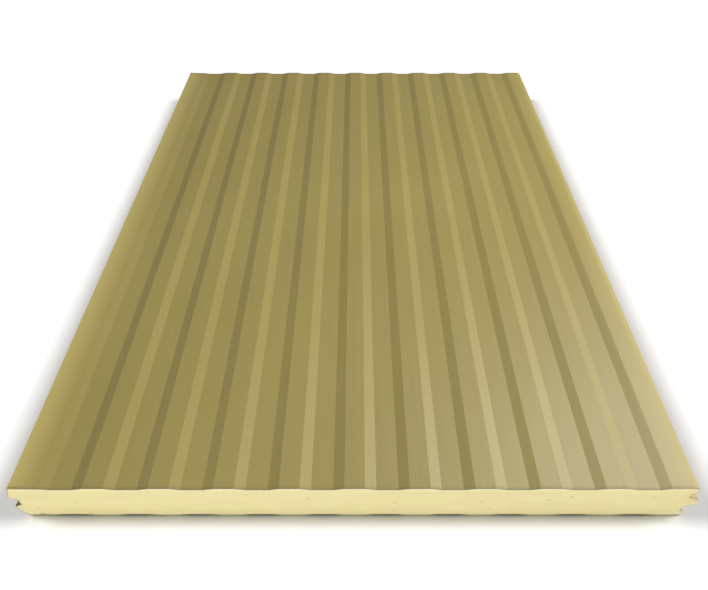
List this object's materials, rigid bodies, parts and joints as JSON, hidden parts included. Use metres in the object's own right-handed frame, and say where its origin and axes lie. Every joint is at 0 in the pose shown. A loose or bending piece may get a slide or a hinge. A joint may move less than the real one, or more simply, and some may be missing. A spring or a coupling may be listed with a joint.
{
  "type": "insulated sandwich panel",
  "caption": "Flat wall panel with ribbed steel facings on a rigid foam core, a groove along one long edge and a tongue along the other.",
  "frame": {"origin": "on the floor under the middle of the panel, at the bottom centre of its bounding box, in the plane of the inner facing's crests", "axes": "+X across the panel from the groove edge to the tongue edge, +Y along the panel and its ribs, +Z from the inner facing to the outer facing"},
  "size_m": [1.01, 1.36, 0.08],
  "materials": {
    "coated_steel_outer": "satin sand-coloured polyester coating",
    "coated_steel_inner": "satin sand-coloured polyester coating",
    "rigid_foam": "pale yellow sawn rigid polyurethane foam"
  },
  "bodies": {
    "root": {"outer_facing": "coated_steel_outer", "inner_facing": "coated_steel_inner", "insulation_core": "rigid_foam"}
  },
  "joints": []
}
